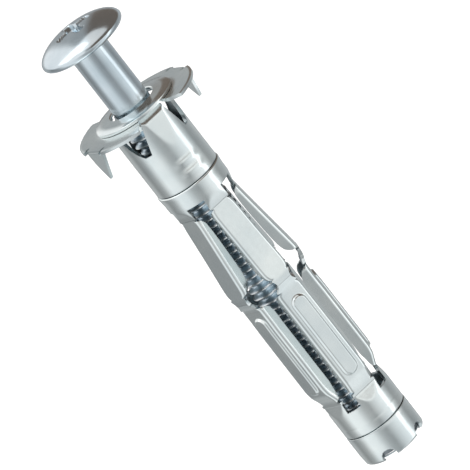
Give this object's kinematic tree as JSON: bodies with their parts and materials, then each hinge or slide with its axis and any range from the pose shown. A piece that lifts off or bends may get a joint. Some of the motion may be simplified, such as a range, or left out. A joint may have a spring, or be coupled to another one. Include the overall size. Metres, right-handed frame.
{
  "type": "wall anchor",
  "caption": "Expanding hollow-wall anchor: a slotted steel sleeve with a clawed flange, a captive nut in its foot and a mushroom-head screw that folds the legs out behind the board.",
  "frame": {"origin": "on the screw's axis, in the plane of the wall that the flange's rim bears on", "axes": "+Z along the screw, out of the wall towards its head; the claws lie on X; the first leg and a broad tab face -Y"},
  "size_m": [0.0116, 0.0104, 0.0462],
  "materials": {
    "zinc_sheet": "bright blue-white zinc plating on pressed sheet steel",
    "zinc_screw": "smooth blue-white zinc plating, slightly darker than the sleeve",
    "zinc_nut": "satin zinc plating"
  },
  "bodies": {
    "collar": {"flange_collar": "zinc_sheet", "top_ring": "zinc_sheet", "sleeve_neck": "zinc_sheet"},
    "screw": {"screw": "zinc_screw"},
    "foot": {"sleeve_foot": "zinc_sheet", "end_cap": "zinc_sheet", "nut": "zinc_nut"},
    "upper_leg_1": {"upper_leg_1": "zinc_sheet"},
    "lower_leg_1": {"lower_leg_1": "zinc_sheet"},
    "upper_leg_2": {"upper_leg_2": "zinc_sheet"},
    "lower_leg_2": {"lower_leg_2": "zinc_sheet"},
    "upper_leg_3": {"upper_leg_3": "zinc_sheet"},
    "lower_leg_3": {"lower_leg_3": "zinc_sheet"},
    "upper_leg_4": {"upper_leg_4": "zinc_sheet"},
    "lower_leg_4": {"lower_leg_4": "zinc_sheet"},
    "upper_leg_5": {"upper_leg_5": "zinc_sheet"},
    "lower_leg_5": {"lower_leg_5": "zinc_sheet"}
  },
  "joints": [
    {"name": "foot_slide", "type": "slide", "parent": "collar", "child": "foot", "axis": [0, 0, 1], "range_m": [0, 0.00958]},
    {"name": "screw_turn", "type": "hinge", "parent": "collar", "child": "screw", "pos_m": [0, 0, 0], "axis": [0, 0, -1], "range_deg": [0, 4927]},
    {"name": "neck_fold_1", "type": "hinge", "parent": "collar", "child": "upper_leg_1", "pos_m": [0, -0.0028, -0.0098], "axis": [-1, 0, 0], "range_deg": [0, 71.05]},
    {"name": "knee_fold_1", "type": "hinge", "parent": "upper_leg_1", "child": "lower_leg_1", "pos_m": [0, -0.00334, -0.0184], "axis": [-1, 0, 0], "range_deg": [-111.59, 0]},
    {"name": "neck_fold_2", "type": "hinge", "parent": "collar", "child": "upper_leg_2", "pos_m": [0.00266, -0.00087, -0.0098], "axis": [-0.309, -0.9511, 0], "range_deg": [0, 71.05]},
    {"name": "knee_fold_2", "type": "hinge", "parent": "upper_leg_2", "child": "lower_leg_2", "pos_m": [0.00318, -0.00103, -0.0184], "axis": [-0.309, -0.9511, 0], "range_deg": [-111.59, 0]},
    {"name": "neck_fold_3", "type": "hinge", "parent": "collar", "child": "upper_leg_3", "pos_m": [0.00165, 0.00227, -0.0098], "axis": [0.809, -0.5878, 0], "range_deg": [0, 71.05]},
    {"name": "knee_fold_3", "type": "hinge", "parent": "upper_leg_3", "child": "lower_leg_3", "pos_m": [0.00196, 0.0027, -0.0184], "axis": [0.809, -0.5878, 0], "range_deg": [-111.59, 0]},
    {"name": "neck_fold_4", "type": "hinge", "parent": "collar", "child": "upper_leg_4", "pos_m": [-0.00165, 0.00227, -0.0098], "axis": [0.809, 0.5878, 0], "range_deg": [0, 71.05]},
    {"name": "knee_fold_4", "type": "hinge", "parent": "upper_leg_4", "child": "lower_leg_4", "pos_m": [-0.00196, 0.0027, -0.0184], "axis": [0.809, 0.5878, 0], "range_deg": [-111.59, 0]},
    {"name": "neck_fold_5", "type": "hinge", "parent": "collar", "child": "upper_leg_5", "pos_m": [-0.00266, -0.00087, -0.0098], "axis": [-0.309, 0.9511, 0], "range_deg": [0, 71.05]},
    {"name": "knee_fold_5", "type": "hinge", "parent": "upper_leg_5", "child": "lower_leg_5", "pos_m": [-0.00318, -0.00103, -0.0184], "axis": [-0.309, 0.9511, 0], "range_deg": [-111.59, 0]}
  ],
  "couplings": [
    {"joint": "screw_turn", "follows": "foot_slide", "rad_per_m": 8976},
    {"joint": "neck_fold_1", "follows": "foot_slide", "rad_per_m": 129.38},
    {"joint": "knee_fold_1", "follows": "foot_slide", "rad_per_m": -203.25},
    {"joint": "neck_fold_2", "follows": "foot_slide", "rad_per_m": 129.38},
    {"joint": "knee_fold_2", "follows": "foot_slide", "rad_per_m": -203.25},
    {"joint": "neck_fold_3", "follows": "foot_slide", "rad_per_m": 129.38},
    {"joint": "knee_fold_3", "follows": "foot_slide", "rad_per_m": -203.25},
    {"joint": "neck_fold_4", "follows": "foot_slide", "rad_per_m": 129.38},
    {"joint": "knee_fold_4", "follows": "foot_slide", "rad_per_m": -203.25},
    {"joint": "neck_fold_5", "follows": "foot_slide", "rad_per_m": 129.38},
    {"joint": "knee_fold_5", "follows": "foot_slide", "rad_per_m": -203.25}
  ]
}
